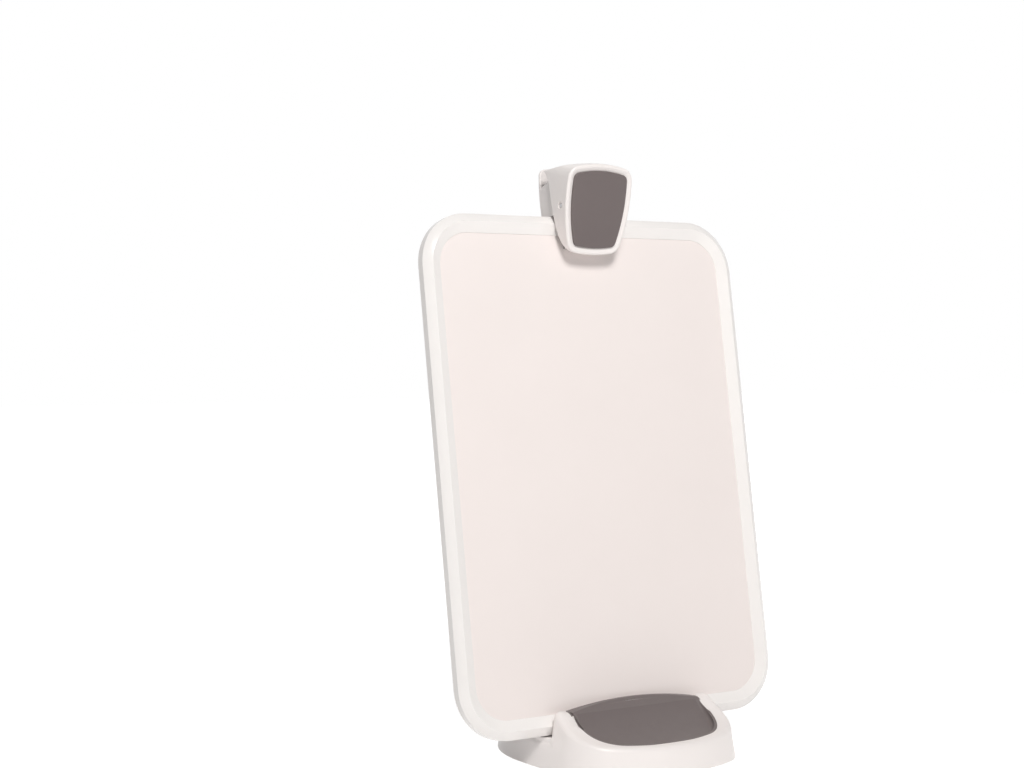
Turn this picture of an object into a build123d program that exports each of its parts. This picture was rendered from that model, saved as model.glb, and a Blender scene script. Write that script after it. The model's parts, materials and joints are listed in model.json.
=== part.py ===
from build123d import *
import os
from math import acos, atan2, ceil, cos, hypot, pi, radians, sin, sqrt, tan

# Desk document holder, in millimetres.
# Z is up and the desk is Z = 0. X runs along the board's width and the reader sits at -Y.
# The origin is on the desk, under the middle of the base.

# Board
board_width = 238.0
board_height = 321.0
board_depth = 9.8
board_corner = 33.0
board_lean = 9.3

# Rim of the board, its section measured in from the outer edge and up from the back
rim_width = 12.0
rim_crest_in = 5.3
rim_edge_height = 5.9
rim_edge_chamfer = 0.6
rim_bulge = 0.3
rim_wall = 2.0
rim_shoulder = 1.6
rim_lip = 0.4
panel_drop = 3.7
panel_thickness = 2.3
panel_edge_clearance = 0.4
panel_rib = 2.0
panel_rib_gap = 0.4
panel_rib_inset = 4.6

# Base, seen from above
base_width = 127.0
base_depth = 155.5
base_bow_radius = 110.0
base_corner = 32.0
base_waist = 81.0
base_draft = 9.0
shell_wall = 2.2
shell_lift = 1.2

# Base, seen from the side, with distances from its front edge
rim_front_height = 17.8
ear_height = 36.4
ear_plan_corner = 6.0
ear_crease = 12.0
crown_height = 39.6
crown_from_front = 51.0
body_sagitta = 5.3
body_edge_fillet = 3.6
foot_height = 18.8
foot_crown_end = 66.0
foot_rear_height = 9.0
foot_edge_fillet = 4.5

# Rear rest of the slot
rest_width = 96.0
rest_height = 41.0
rest_depth = 46.0
rest_sagitta = 6.0
rest_crest = 6.0
rest_corner = 14.0
rest_draft = 8.0
rest_fillet = 2.6

# Sill under the slot
sill_inset = 3.0
sill_behind = 5.0
sill_rise = 0.6
sill_corner = 4.0
sill_fillet = 1.8

# Slot that holds the board
slot_from_front = 61.6
slot_seat_height = 20.0
slot_front_gap = 0.8
slot_back_gap = 0.3
slot_pad_thickness = 1.0
slot_pad_length = 26.0
slot_pad_width = 6.0
slot_pad_spacing = 62.0
slot_pad_corner = 1.5

# Scooped tray
tray_width = 98.5
tray_front_wall = 7.5
tray_bow_radius = 105.0
tray_corner = 26.0
tray_scoop_radius = 45.2
tray_scoop_from_front = 10.0
tray_floor_height = 14.9
tray_floor_fillet = 3.0
inlay_thickness = 1.6
inlay_clearance = 0.1
inlay_drop = 0.25
inlay_lip_fillet = 1.2

# Sloping facets on the ears, beside the tray
facet_width = 4.5
facet_drop = 1.4
facet_from_front = 34.0

# Bottom plate, screws and feet
plate_thickness = 2.4
plate_clearance = 0.3
boss_radius = 3.6
screw_radius = 1.5
screw_hole_clearance = 0.06
screw_head_radius = 2.9
screw_head_height = 1.7
screw_length = 7.5
screw_tip_space = 0.5
screw_cross_width = 0.7
screw_cross_length = 3.2
screw_cross_depth = 0.9
front_boss_inset = 34.0
front_boss_from_front = 17.0
rear_boss_inset = 30.0
rear_boss_from_front = 118.0
foot_radius = 7.0
foot_recess = 0.8
foot_recess_clearance = 0.1
foot_chamfer = 0.4
front_foot_inset = 18.0
front_foot_from_front = 26.0
rear_foot_inset = 37.0
rear_foot_from_back = 25.5

# Clip, with heights from the board's top edge and depths from the board's back
pivot_rise = 4.2
pivot_depth = 20.4
pin_radius = 1.5
pin_clearance = 0.06
pin_recess = 1.0
pin_well_radius = 2.3
pin_chamfer = 0.3

# Front lever of the clip
lever_foot_drop = 26.4
lever_foot_depth = 17.0
lever_tilt = 19.3
lever_length = 57.7
lever_foot_half = 18.8
lever_waist_half = 24.8
lever_waist_rise = 34.0
lever_head_half = 24.0
lever_foot_bow = 2.0
lever_head_bow = 3.6
lever_roof_rise = 1.4
lever_corner = 8.5
lever_wall = 2.0
lever_face = 2.6
lever_back_depth = 10.8
lever_back_drop = 8.0
lever_back_rise = 16.0
lever_nape_lean = 0.5
lever_heel = 1.3
lever_horn_depth = 5.8
lever_horn_rise = 29.8
lever_edge_fillet = 1.2

# Grip pad on the lever
grip_inset = 4.3
grip_bevel = 2.4
grip_bevel_depth = 0.9
grip_thickness = 1.5
grip_proud = 0.3
grip_clearance = 0.1

# Jaw of the lever and its rubber
jaw_drop = 14.2
jaw_height = 6.4
jaw_width = 30.0
jaw_pad_thickness = 1.4
jaw_gap = 0.2

# Rear jaw of the clip
rear_plate = 2.2
rear_plate_depth = 6.2
rear_head_half = 20.4
rear_waist_half = 21.8
rear_foot_half = 18.6
rear_head_rise = 33.2
rear_waist_rise = 10.0
rear_foot_drop = 18.0
rear_head_bow = 1.5
rear_corner = 5.0
rear_edge_fillet = 0.9
lug_wall = 2.2
lug_gap = 0.3
lug_root_rise = 20.0
lug_brow_rise = 24.3
lug_brow_depth = 8.5
rear_pad_height = 9.0
rear_pad_drop = 2.0
rear_pad_gap = 0.15
rear_pad_thickness = 1.4
rear_pad_width = 30.0

# Torsion spring
spring_radius = 3.1
spring_wire = 0.5
spring_pitch = 1.7
spring_full_turns = 6
spring_leg_rise = 17.0
spring_leg_gap = 0.3

# Planes and places that follow from the sizes above
front_y = -base_depth / 2
lean = radians(board_lean)
board_up = Vector(0, sin(lean), cos(lean))
board_out = Vector(0, -cos(lean), sin(lean))
seat = Vector(0, front_y + slot_from_front, slot_seat_height)
board_plane = Plane(origin=seat, x_dir=(1, 0, 0), z_dir=board_out)
side_plane = Plane(origin=seat, x_dir=board_out, z_dir=(-1, 0, 0))
tilt = radians(lever_tilt)
lever_foot = seat + board_up * (board_height - lever_foot_drop) + board_out * lever_foot_depth
lever_out = board_out * cos(tilt) - board_up * sin(tilt)
lever_plane = Plane(origin=lever_foot, x_dir=(1, 0, 0), z_dir=lever_out)
pivot = (pivot_depth, board_height + pivot_rise)
panel_front = board_depth - panel_drop
plate_top = shell_lift + plate_thickness
scoop_height = tray_floor_height + tray_scoop_radius
lug_radius = pivot_rise - lug_gap
rear_face = rear_plate - rear_plate_depth
lug_out = rear_waist_half
ledge_in = rim_crest_in - rim_shoulder
panel_inset = ledge_in + panel_edge_clearance
reach = board_width
steep = cos(radians(30))
touch = 0.01
slot_front_y = seat.Y - (board_depth + slot_front_gap) / cos(lean)
ear_back = slot_front_y + (ear_height - slot_seat_height) * tan(lean)

os.makedirs("parts", exist_ok=True)


def save(node, label):
    """Label a finished piece and write its file."""
    node.part.label = label
    export_step(node.part, f"parts/{label}.step")


def from_front(distance):
    """Y of a point of the base, from its distance behind the front edge."""
    return front_y + distance


# Plan and forms of the base


def bowed_front(half, front, bow, corner):
    """Draw half of a bowed front edge with its rounded corner; gives where the straight side starts."""
    bow_centre = front + bow
    corner_x = half - corner
    corner_y = bow_centre - sqrt((bow - corner) ** 2 - corner_x**2)
    reach_out = bow / (bow - corner)
    meet = (corner_x * reach_out, bow_centre + (corner_y - bow_centre) * reach_out)
    RadiusArc((0, front), meet, -bow)
    RadiusArc(meet, (half, corner_y), -corner)
    return (half, corner_y)


def base_plan(inset):
    """Plan of the base: bowed front, rounded corners, straight sides, half ellipse behind."""
    half = base_width / 2 - inset
    waist = from_front(base_waist)
    with BuildSketch() as plan:
        with BuildLine():
            side = bowed_front(half, front_y + inset, base_bow_radius - inset, base_corner - inset)
            Line(side, (half, waist))
            EllipticalCenterArc((0, waist), half, base_depth / 2 - inset - waist, arc_size=90)
            mirror(about=Plane.YZ)
        make_face()
    return plan.sketch_local


def body_side(inset):
    """Side view of the front body: a hollow arc from the front rim up to the crown behind the tray."""
    front = (front_y - shell_wall, rim_front_height - inset)
    crown = (from_front(crown_from_front), crown_height - inset)
    back = ear_back - inset
    with BuildSketch() as side:
        with BuildLine():
            SagittaArc(front, crown, -body_sagitta)
            Polyline(crown, (back, crown[1]), (back, shell_lift), (front[0], shell_lift), front)
        make_face()
    return side.sketch_local


def ear_side(inset):
    """Side view of the body with its ears: the same arc, eased into the ears' level tops."""
    with BuildSketch() as side:
        add(body_side(inset))
        with Locations((0, ear_height - inset)):
            Rectangle(reach, reach, align=(Align.CENTER, Align.MAX), mode=Mode.INTERSECT)
        fillet(side.vertices().group_by(Axis.Y)[-1].sort_by(Axis.X)[0], ear_crease - inset)
    return side.sketch_local


def crown_front(inset):
    """Front view of the wall behind the tray, arched up from the inner edges of the facets."""
    half = base_width / 2
    crown_half = tray_width / 2
    ear = ear_height - inset
    spring = ear - facet_drop
    with BuildSketch() as front:
        with BuildLine():
            ThreePointArc((crown_half, spring), (0, crown_height - inset), (-crown_half, spring))
            Polyline((-crown_half, spring), (-crown_half, ear), (-half, ear), (-half, shell_lift))
            Polyline((-half, shell_lift), (half, shell_lift), (half, ear), (crown_half, ear))
            Line((crown_half, ear), (crown_half, spring))
        make_face()
    return front.sketch_local


def foot_side(inset):
    """Side view of the low foot, level to behind the slot and then crowned down to the back."""
    top = foot_height - inset
    start = from_front(tray_front_wall)
    crown = from_front(foot_crown_end)
    rear = base_depth / 2
    low = foot_rear_height - inset
    with BuildSketch() as side:
        with BuildLine():
            TangentArc((crown, top), (rear, low), tangent=(1, 0))
            Polyline((rear, low), (rear, shell_lift), (start, shell_lift), (start, top), (crown, top))
        make_face()
    return side.sketch_local


def rest_side(inset):
    """Side view of the rear rest: the slot's floor, a level crest, then a hollow arc down to the foot."""
    start = slot_front_y - slot_front_gap
    crest = seat.Y + (rest_height - slot_seat_height) * tan(lean) + rest_crest - inset
    end = from_front(slot_from_front + rest_depth) - inset
    top = rest_height - inset
    low = foot_height - rest_fillet - inset
    with BuildSketch() as side:
        with BuildLine():
            SagittaArc((crest, top), (end, low), -rest_sagitta)
            Polyline((end, low), (end, shell_lift), (start, shell_lift), (start, top), (crest, top))
        make_face()
    return side.sketch_local


def rest_plan(inset):
    """Plan of the rear rest, rounded at its two back corners."""
    half = rest_width / 2 - inset
    front = slot_front_y - slot_front_gap
    back = from_front(slot_from_front + rest_depth) - inset
    with BuildSketch() as plan:
        with BuildLine():
            Polyline((half, front), (half, back), (-half, back), (-half, front), (half, front))
        make_face()
        fillet(plan.vertices().group_by(Axis.Y)[-1], rest_corner - inset)
    return plan.sketch_local


def tray_plan(inset):
    """Plan of the tray: bowed front, rounded corners, straight sides back into the slot."""
    half = tray_width / 2 - inset
    front = from_front(tray_front_wall) + inset
    with BuildSketch() as plan:
        with BuildLine():
            side = bowed_front(half, front, tray_bow_radius - inset, tray_corner - inset)
            Polyline(side, (half, seat.Y), (0, seat.Y))
            mirror(about=Plane.YZ)
        make_face()
    return plan.sketch_local


def plan_block(inset, height):
    """The base's plan pulled up, drawn in with its height by the draft."""
    with BuildPart() as block:
        with BuildSketch(Plane.XY.offset(shell_lift)):
            add(base_plan(inset))
        with BuildSketch(Plane.XY.offset(shell_lift + height)):
            add(base_plan(inset + height * tan(radians(base_draft))))
        loft(ruled=True)
    return block.part


def foot_form(inset):
    """Low foot of the base, as a solid."""
    with BuildPart() as form:
        add(plan_block(inset, crown_height))
        with BuildSketch(Plane.YZ):
            add(foot_side(inset))
        extrude(amount=reach, both=True, mode=Mode.INTERSECT)
        if inset == 0:
            front_edge = form.edges().group_by(Axis.Y)[0]
            rim = form.edges().filter_by(lambda e: e.center().Z > foot_rear_height - rest_fillet)
            fillet(rim - front_edge, foot_edge_fillet)
    return form.part


def body_form(inset):
    """Front body of the base, as a solid, with its ears rounded in plan beside the slot."""
    with BuildPart() as form:
        add(plan_block(inset, crown_height))
        with BuildSketch(Plane.YZ):
            add(ear_side(inset))
        extrude(amount=reach, both=True, mode=Mode.INTERSECT)
        back_edges = form.faces().sort_by(Axis.Y)[-1].edges()
        fillet(back_edges.filter_by(lambda e: abs(e.center().X) > tray_width / 2), ear_plan_corner - inset)
        if inset == 0:
            high = form.edges().filter_by(lambda e: e.center().Z > rim_front_height)
            outline = high.filter_by(lambda e: e.length < tray_width and abs(e.tangent_at(0.5).Z) < steep)
            fillet(outline, body_edge_fillet)
    return form.part


def rest_form(inset):
    """Rear rest, as a solid."""
    with BuildPart() as form:
        with BuildSketch(Plane.XY.offset(shell_lift)):
            add(rest_plan(inset))
        extrude(amount=rest_height, taper=rest_draft)
        with BuildSketch(Plane.YZ):
            add(rest_side(inset))
        extrude(amount=reach, both=True, mode=Mode.INTERSECT)
    return form.part


def tray_void(inset, floor_fillet):
    """Scoop of the tray: its plan, hollowed by a cylinder that lies across the base."""
    with BuildPart() as void:
        with BuildSketch(Plane.XY):
            add(tray_plan(inset))
        extrude(amount=scoop_height)
        with BuildSketch(Plane.YZ):
            with Locations((from_front(tray_scoop_from_front), scoop_height)):
                Circle(tray_scoop_radius - inset)
        extrude(amount=reach, both=True, mode=Mode.INTERSECT)
        floor = void.faces().filter_by(GeomType.CYLINDER).sort_by(Axis.Z)[0]
        fillet(floor.edges() - void.faces().sort_by(Axis.Z)[-1].edges(), floor_fillet)
    return void.part


def slot_void(widen):
    """Slot for the board, open above and at both sides."""
    with BuildPart() as void:
        with BuildSketch(side_plane):
            low = -slot_pad_thickness - widen
            back = -slot_back_gap - widen
            front = board_depth + slot_front_gap + widen
            with BuildLine():
                Polyline((back, low), (front, low), (front, base_depth), (back, base_depth), (back, low))
            make_face()
        extrude(amount=reach, both=True)
    return void.part


def facet_section(inset):
    """Side view of the room over the ears, down to their top moved in by the inset."""
    start = from_front(facet_from_front)
    with BuildSketch() as room:
        with Locations((start, rim_front_height)):
            Rectangle(base_depth, scoop_height, align=(Align.MIN, Align.MIN))
        add(ear_side(inset), mode=Mode.SUBTRACT)
        with Locations((ear_back, 0)):
            Rectangle(base_depth, 2 * scoop_height, align=(Align.MIN, Align.MIN), mode=Mode.SUBTRACT)
    return room.sketch_local


def facet_void():
    """What the two facets take off the ears and the liner's edges."""
    edge = tray_width / 2 + facet_width
    slope_width = facet_width + inlay_clearance + inlay_thickness
    with BuildPart() as void:
        with BuildSketch(Plane.YZ.offset(edge - slope_width)):
            add(facet_section(facet_drop))
        with BuildSketch(Plane.YZ.offset(edge + slope_width)):
            add(facet_section(-facet_drop))
        loft(ruled=True)
        mirror(about=Plane.YZ)
    return void.part


def crown_wall(inset):
    """Wall behind the tray, whose arched top the inlay folds over."""
    with BuildPart() as wall:
        with BuildSketch(Plane.XZ):
            add(crown_front(inset))
        extrude(amount=reach, both=True)
        with BuildSketch(Plane.XY):
            with Locations((0, from_front(crown_from_front))):
                Rectangle(tray_width, 2 * (ear_back - from_front(crown_from_front)))
        extrude(amount=reach, mode=Mode.INTERSECT)
    return wall.part


def lip_void(inset, drop):
    """Room over the wall behind the tray, down to its arched top."""
    with BuildPart() as void:
        with BuildSketch(Plane.XY):
            add(tray_plan(inset))
        extrude(amount=scoop_height)
        with BuildSketch(Plane.XZ):
            add(crown_front(drop))
        extrude(amount=reach, both=True, mode=Mode.SUBTRACT)
    return void.part


def slot_sill(inset):
    """Low sill that carries the slot's floor out past the ears, rounded at its ends."""
    with BuildPart() as sill:
        with BuildSketch(Plane.XY.offset(shell_lift)):
            with Locations((0, (slot_front_y + seat.Y + sill_behind) / 2)):
                RectangleRounded(
                    base_width - 2 * sill_inset - 2 * inset,
                    seat.Y + sill_behind - slot_front_y + 2 * sill_corner - 2 * inset,
                    sill_corner,
                )
        extrude(amount=slot_seat_height + sill_rise - shell_lift - inset)
        if inset == 0:
            fillet(sill.faces().sort_by(Axis.Z)[-1].edges(), sill_fillet)
    return sill.part


def screw_form(clearance, length):
    """Countersunk screw standing head down on the origin, or the hole for it."""
    head = screw_head_radius + clearance
    shank = screw_radius + clearance
    with BuildPart() as screw:
        with BuildSketch(Plane.XZ):
            with BuildLine():
                neck = (shank, screw_head_height)
                Polyline((0, 0), (head, 0), neck, (shank, length), (0, length), (0, 0))
            make_face()
        revolve(axis=Axis.Z)
    return screw.part


# Base shell: one hollow moulding, open below, with four screw bosses

front_boss_y = from_front(front_boss_from_front)
rear_boss_y = from_front(rear_boss_from_front)
screw_places = [
    (side * (base_width / 2 - inset), boss_y, shell_lift)
    for inset, boss_y in ((front_boss_inset, front_boss_y), (rear_boss_inset, rear_boss_y))
    for side in (-1, 1)
]
front_foot_x = base_width / 2 - front_foot_inset
front_foot_y = from_front(front_foot_from_front)
rear_foot_x = base_width / 2 - rear_foot_inset
rear_foot_y = base_depth / 2 - rear_foot_from_back
foot_seat = shell_lift + foot_recess
foot_places = {
    "front_left": (-front_foot_x, front_foot_y, foot_seat),
    "front_right": (front_foot_x, front_foot_y, foot_seat),
    "rear_left": (-rear_foot_x, rear_foot_y, foot_seat),
    "rear_right": (rear_foot_x, rear_foot_y, foot_seat),
}
lip_drop = inlay_drop + inlay_thickness + inlay_clearance
floor_fillet = tray_floor_fillet + inlay_thickness + inlay_clearance

with BuildPart() as base_block:
    add(foot_form(0))
    add(body_form(0))
    add(rest_form(0))
    add(slot_sill(0))
    add(crown_wall(lip_drop))
    add(lip_void(0, lip_drop), mode=Mode.SUBTRACT)
    add(tray_void(0, floor_fillet), mode=Mode.SUBTRACT)
    add(facet_void(), mode=Mode.SUBTRACT)
    add(slot_void(0), mode=Mode.SUBTRACT)

with BuildPart() as base_cavity:
    add(foot_form(shell_wall))
    add(body_form(shell_wall))
    add(rest_form(shell_wall))
    add(lip_void(-shell_wall, lip_drop + shell_wall), mode=Mode.SUBTRACT)
    add(tray_void(-shell_wall, floor_fillet + shell_wall), mode=Mode.SUBTRACT)
    add(slot_void(shell_wall), mode=Mode.SUBTRACT)

with BuildPart() as base_bosses:
    with Locations(*screw_places):
        Cylinder(boss_radius, crown_height, align=(Align.CENTER, Align.CENTER, Align.MIN))
    with BuildSketch(Plane.XY.offset(plate_top)):
        Rectangle(base_width, base_depth)
    extrude(amount=crown_height, mode=Mode.INTERSECT)
    add(base_block.part, mode=Mode.INTERSECT)

with BuildPart() as base_shell:
    add(base_block.part)
    add(base_cavity.part, mode=Mode.SUBTRACT)
    add(base_bosses.part)
    with Locations(*screw_places):
        add(screw_form(screw_hole_clearance, screw_length + screw_tip_space), mode=Mode.SUBTRACT)
save(base_shell, "base_shell")

# Grey liner of the tray, folded back over the wall to the slot
with BuildPart() as tray_inlay:
    add(tray_void(inlay_clearance, floor_fillet - inlay_clearance))
    add(lip_void(inlay_clearance, lip_drop - inlay_clearance))
    with BuildSketch(Plane.YZ):
        add(body_side(inlay_drop))
    extrude(amount=reach, both=True, mode=Mode.INTERSECT)
    with BuildSketch(Plane.XZ):
        add(crown_front(inlay_drop))
    extrude(amount=reach, both=True, mode=Mode.INTERSECT)
    add(tray_void(inlay_clearance + inlay_thickness, tray_floor_fillet), mode=Mode.SUBTRACT)
    add(slot_void(0), mode=Mode.SUBTRACT)
    free_curves = tray_inlay.edges().filter_by(GeomType.BSPLINE)
    long_curves = free_curves.filter_by(lambda e: e.length > tray_width / 2)
    fillet(long_curves.sort_by(lambda e: e.position_at(0.5).Z)[-1], inlay_lip_fillet)
    add(facet_void(), mode=Mode.SUBTRACT)
save(tray_inlay, "tray_inlay")

# Bottom plate with recesses for the feet, and its four screws
with BuildPart() as base_bottom_plate:
    with BuildSketch(Plane.XY.offset(shell_lift)):
        add(base_plan(shell_wall + plate_clearance))
    with BuildSketch(Plane.XY.offset(plate_top)):
        add(base_plan(shell_wall + plate_clearance + plate_thickness * tan(radians(base_draft))))
    loft(ruled=True)
    with Locations(*foot_places.values()):
        Cylinder(
            foot_radius + foot_recess_clearance,
            plate_thickness,
            align=(Align.CENTER, Align.CENTER, Align.MAX),
            mode=Mode.SUBTRACT,
        )
    with Locations(*screw_places):
        add(screw_form(screw_hole_clearance, screw_length), mode=Mode.SUBTRACT)
save(base_bottom_plate, "base_bottom_plate")

with BuildPart() as base_screws:
    with Locations(*screw_places):
        add(screw_form(0, screw_length))
    with Locations(*screw_places):
        Box(screw_cross_length, screw_cross_width, 2 * screw_cross_depth, mode=Mode.SUBTRACT)
        Box(screw_cross_width, screw_cross_length, 2 * screw_cross_depth, mode=Mode.SUBTRACT)
save(base_screws, "base_screws")

for corner, place in foot_places.items():
    with BuildPart() as rubber_foot:
        with Locations(place):
            Cylinder(foot_radius, place[2], align=(Align.CENTER, Align.CENTER, Align.MAX))
        chamfer(rubber_foot.edges().sort_by(Axis.Z)[0], foot_chamfer)
    save(rubber_foot, f"rubber_foot_{corner}")

# Rubber strips on the slot's floor
for side, place in (("left", -1), ("right", 1)):
    with BuildPart() as slot_pad:
        with BuildSketch(side_plane):
            with Locations(((board_depth - slot_pad_width) / 2, -slot_pad_thickness)):
                Rectangle(slot_pad_width, slot_pad_thickness, align=(Align.MIN, Align.MIN))
        extrude(amount=slot_pad_length / 2, both=True)
        fillet(slot_pad.edges().filter_by(Axis((0, 0, 0), board_up)), slot_pad_corner)
    with BuildPart() as slot_pad_placed:
        with Locations((place * slot_pad_spacing / 2, 0, 0)):
            add(slot_pad.part)
    save(slot_pad_placed, f"slot_pad_{side}")


# Board


def board_outline(inset):
    """Outline of the board in its own plane, moved in by the inset."""
    with BuildSketch() as outline:
        with Locations((0, board_height / 2)):
            RectangleRounded(board_width - 2 * inset, board_height - 2 * inset, board_corner - inset)
    return outline.sketch_local


# Frame: its section runs round the board's outline
rim_path = (board_plane.location * board_outline(0)).face().outer_wire()
rim_start = rim_path @ 0
rim_run = rim_path % 0
with BuildPart() as rim_frame:
    with BuildSketch(Plane(origin=rim_start, x_dir=board_out.cross(rim_run), z_dir=rim_run)):
        crest = (rim_crest_in, board_depth)
        lip = (rim_width, panel_front + rim_lip)
        ledge = (ledge_in, panel_front)
        with BuildLine():
            Polyline((rim_wall, 0), (rim_edge_chamfer, 0), (0, rim_edge_chamfer), (0, rim_edge_height))
            SagittaArc((0, rim_edge_height), crest, rim_bulge)
            Polyline(crest, lip, (rim_width, panel_front), ledge)
            Polyline(ledge, (rim_wall, panel_front - rim_shoulder), (rim_wall, 0))
        make_face()
    sweep(path=rim_path)
save(rim_frame, "rim_frame")

with BuildPart() as back_panel:
    with BuildSketch(board_plane.offset(panel_front - panel_thickness)):
        add(board_outline(panel_inset))
    extrude(amount=panel_thickness)
    with BuildSketch(board_plane.offset(panel_rib_gap)):
        add(board_outline(panel_rib_inset))
        add(board_outline(panel_rib_inset + panel_rib), mode=Mode.SUBTRACT)
    extrude(amount=panel_front - panel_thickness - panel_rib_gap)
save(back_panel, "back_panel")


# Clip


def moved_in(edge, share, inset):
    """Point at a share of an outline's edge, moved in square to the edge."""
    point = edge.position_at(share)
    inward = edge.tangent_at(share).cross(Vector(0, 0, 1))
    if inward.dot(Vector(0, lever_length / 2, 0) - point) < 0:
        inward = -inward
    return point + inward * inset


def lever_outline(inset):
    """Outline of the lever's face: bowed ends, swelling sides, rounded corners."""
    low = (lever_foot_half, lever_foot_bow)
    mid = (lever_waist_half, lever_waist_rise)
    high = (lever_head_half, lever_length - lever_head_bow)
    with BuildSketch() as outline:
        with BuildLine():
            ThreePointArc(low, mid, high)
            ThreePointArc(high, (0, lever_length), (-high[0], high[1]))
            ThreePointArc((-high[0], high[1]), (-mid[0], mid[1]), (-low[0], low[1]))
            ThreePointArc((-low[0], low[1]), (0, 0), low)
        make_face()
        fillet(outline.vertices(), lever_corner)
    with BuildSketch() as smaller:
        with BuildLine():
            for edge in outline.sketch_local.edges():
                ThreePointArc(*(moved_in(edge, share, inset) for share in (0, 0.5, 1)))
        make_face()
    return smaller.sketch_local


def face_depth(height):
    """Depth of the lever's face at a height above the board's bottom edge."""
    return lever_foot_depth + (height - board_height + lever_foot_drop) * tan(tilt)


def lever_side(inset):
    """Side view of the lever; its back edge follows the board's back and curls to a horn on top."""
    low = board_height - lever_foot_drop
    foot = (face_depth(low) + inset, low - inset)
    length = lever_length + lever_roof_rise
    head = (lever_foot_depth + length * sin(tilt) + inset, low + length * cos(tilt))
    horn = (lever_horn_depth, board_height + lever_horn_rise)
    nape = (lever_back_depth + lever_nape_lean, board_height + lever_back_rise)
    waist = (lever_back_depth, board_height - lever_back_drop)
    heel = (lever_foot_depth - lever_heel, low)
    with BuildSketch() as side:
        with BuildLine():
            Polyline(heel, foot, head, horn)
            TangentArc(nape, horn, tangent=(0, 1))
            Line(nape, waist)
            TangentArc(waist, heel, tangent=(0, -1))
        make_face()
    return side.sketch_local


def across(outline, half_width):
    """Solid of a side-view outline, stretched sideways to both sides."""
    with BuildPart() as block:
        with BuildSketch(side_plane):
            add(outline)
        extrude(amount=half_width, both=True)
    return block.part


def rod(centre, radius, half_width):
    """Round bar across the clip; its centre is a depth and a height."""
    with BuildSketch() as section:
        with Locations(centre):
            Circle(radius)
    return across(section.sketch_local, half_width)


def side_box(depth_low, depth_high, height_low, height_high):
    """Side-view rectangle between two depths and two heights."""
    with BuildSketch() as section:
        with Locations(((depth_low + depth_high) / 2, (height_low + height_high) / 2)):
            Rectangle(depth_high - depth_low, height_high - height_low)
    return section.sketch_local


def lever_cavity(wall, face):
    """Hollow of the lever, open at the back."""
    low = board_height - lever_foot_drop
    drop = wall / cos(tilt)
    length = lever_length + lever_roof_rise
    head = (lever_foot_depth + length * sin(tilt), low + length * cos(tilt) - drop)
    horn = (lever_horn_depth, board_height + lever_horn_rise - drop)
    slope = (horn[1] - head[1]) / (horn[0] - head[0])
    behind = (-board_depth, horn[1] - slope * (horn[0] + board_depth))
    with BuildPart() as cavity:
        with BuildSketch(lever_plane.offset(-face)):
            add(lever_outline(wall))
        extrude(amount=-lever_length)
        with BuildSketch(side_plane):
            with BuildLine():
                Polyline(head, behind, (-board_depth, 0), (head[0], 0), head)
            make_face()
        extrude(amount=reach, both=True, mode=Mode.INTERSECT)
    return cavity.part


# Lever: a deep cap with a recessed face, two cheeks on the pin and a jaw that meets the panel
jaw_back = panel_front + jaw_gap + jaw_pad_thickness
jaw_top = board_height - jaw_drop
jaw_low = jaw_top - jaw_height
pad_seat = grip_thickness - grip_proud
cheek_well = lever_waist_half - pin_recess

with BuildSketch() as jaw_section:
    with BuildLine():
        jaw_reach = (lever_face + pad_seat) / 2 / cos(tilt)
        Polyline(
            (jaw_back, jaw_low),
            (face_depth(jaw_low) - jaw_reach, jaw_low),
            (face_depth(jaw_top) - jaw_reach, jaw_top),
            (jaw_back, jaw_top),
            (jaw_back, jaw_low),
        )
    make_face()

with BuildPart() as clip_front_lever:
    with BuildSketch(lever_plane):
        add(lever_outline(0))
    extrude(amount=-lever_length)
    add(across(lever_side(0), reach), mode=Mode.INTERSECT)
    flat_faces = clip_front_lever.faces().filter_by(GeomType.PLANE)
    front_face = flat_faces.sort_by(SortBy.AREA)[-1]
    roof_sides = flat_faces.sort_by(Axis.Z)[-1].edges().filter_by(GeomType.LINE, reverse=True)
    fillet(front_face.edges() + roof_sides, lever_edge_fillet)
    add(lever_cavity(lever_wall, lever_face), mode=Mode.SUBTRACT)
    with BuildSketch(lever_plane):
        add(lever_outline(grip_inset))
    extrude(amount=-pad_seat, mode=Mode.SUBTRACT)
    on_front = clip_front_lever.faces().filter_by(
        lambda f: abs(lever_plane.to_local_coords(f.center()).Z) < touch
    )
    rim_face = on_front[0]
    chamfer(rim_face.inner_wires()[0].edges(), grip_bevel, grip_bevel_depth, reference=rim_face)
    add(across(jaw_section.sketch_local, jaw_width / 2))
    add(rod(pivot, pin_radius + pin_clearance, reach), mode=Mode.SUBTRACT)
    add(rod(pivot, pin_well_radius, reach) - rod(pivot, pin_well_radius, cheek_well), mode=Mode.SUBTRACT)
save(clip_front_lever, "clip_front_lever")

with BuildPart() as clip_grip_pad:
    with BuildSketch(lever_plane.offset(-pad_seat)):
        add(lever_outline(grip_inset + grip_clearance))
    extrude(amount=grip_thickness)
    fillet(clip_grip_pad.faces().sort_by(Axis.Y)[0].edges(), grip_proud)
save(clip_grip_pad, "clip_grip_pad")

with BuildPart() as clip_front_jaw_pad:
    add(across(side_box(jaw_back - jaw_pad_thickness, jaw_back, jaw_low, jaw_top), jaw_width / 2))
save(clip_front_jaw_pad, "clip_front_jaw_pad")

# Rear jaw: a plate behind the board with two lugs that carry the pin
with BuildSketch() as lug_section:
    with BuildLine():
        root_low = (rear_face, board_height + lug_gap)
        root_high = (rear_face, board_height + lug_root_rise)
        nose_low = (pivot[0], root_low[1])
        nose_high = (pivot[0], pivot[1] + lug_radius)
        brow = (lug_brow_depth, board_height + lug_brow_rise)
        Polyline(nose_low, root_low, root_high, brow, nose_high, nose_low)
    make_face()
    with Locations(pivot):
        Circle(lug_radius)

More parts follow.
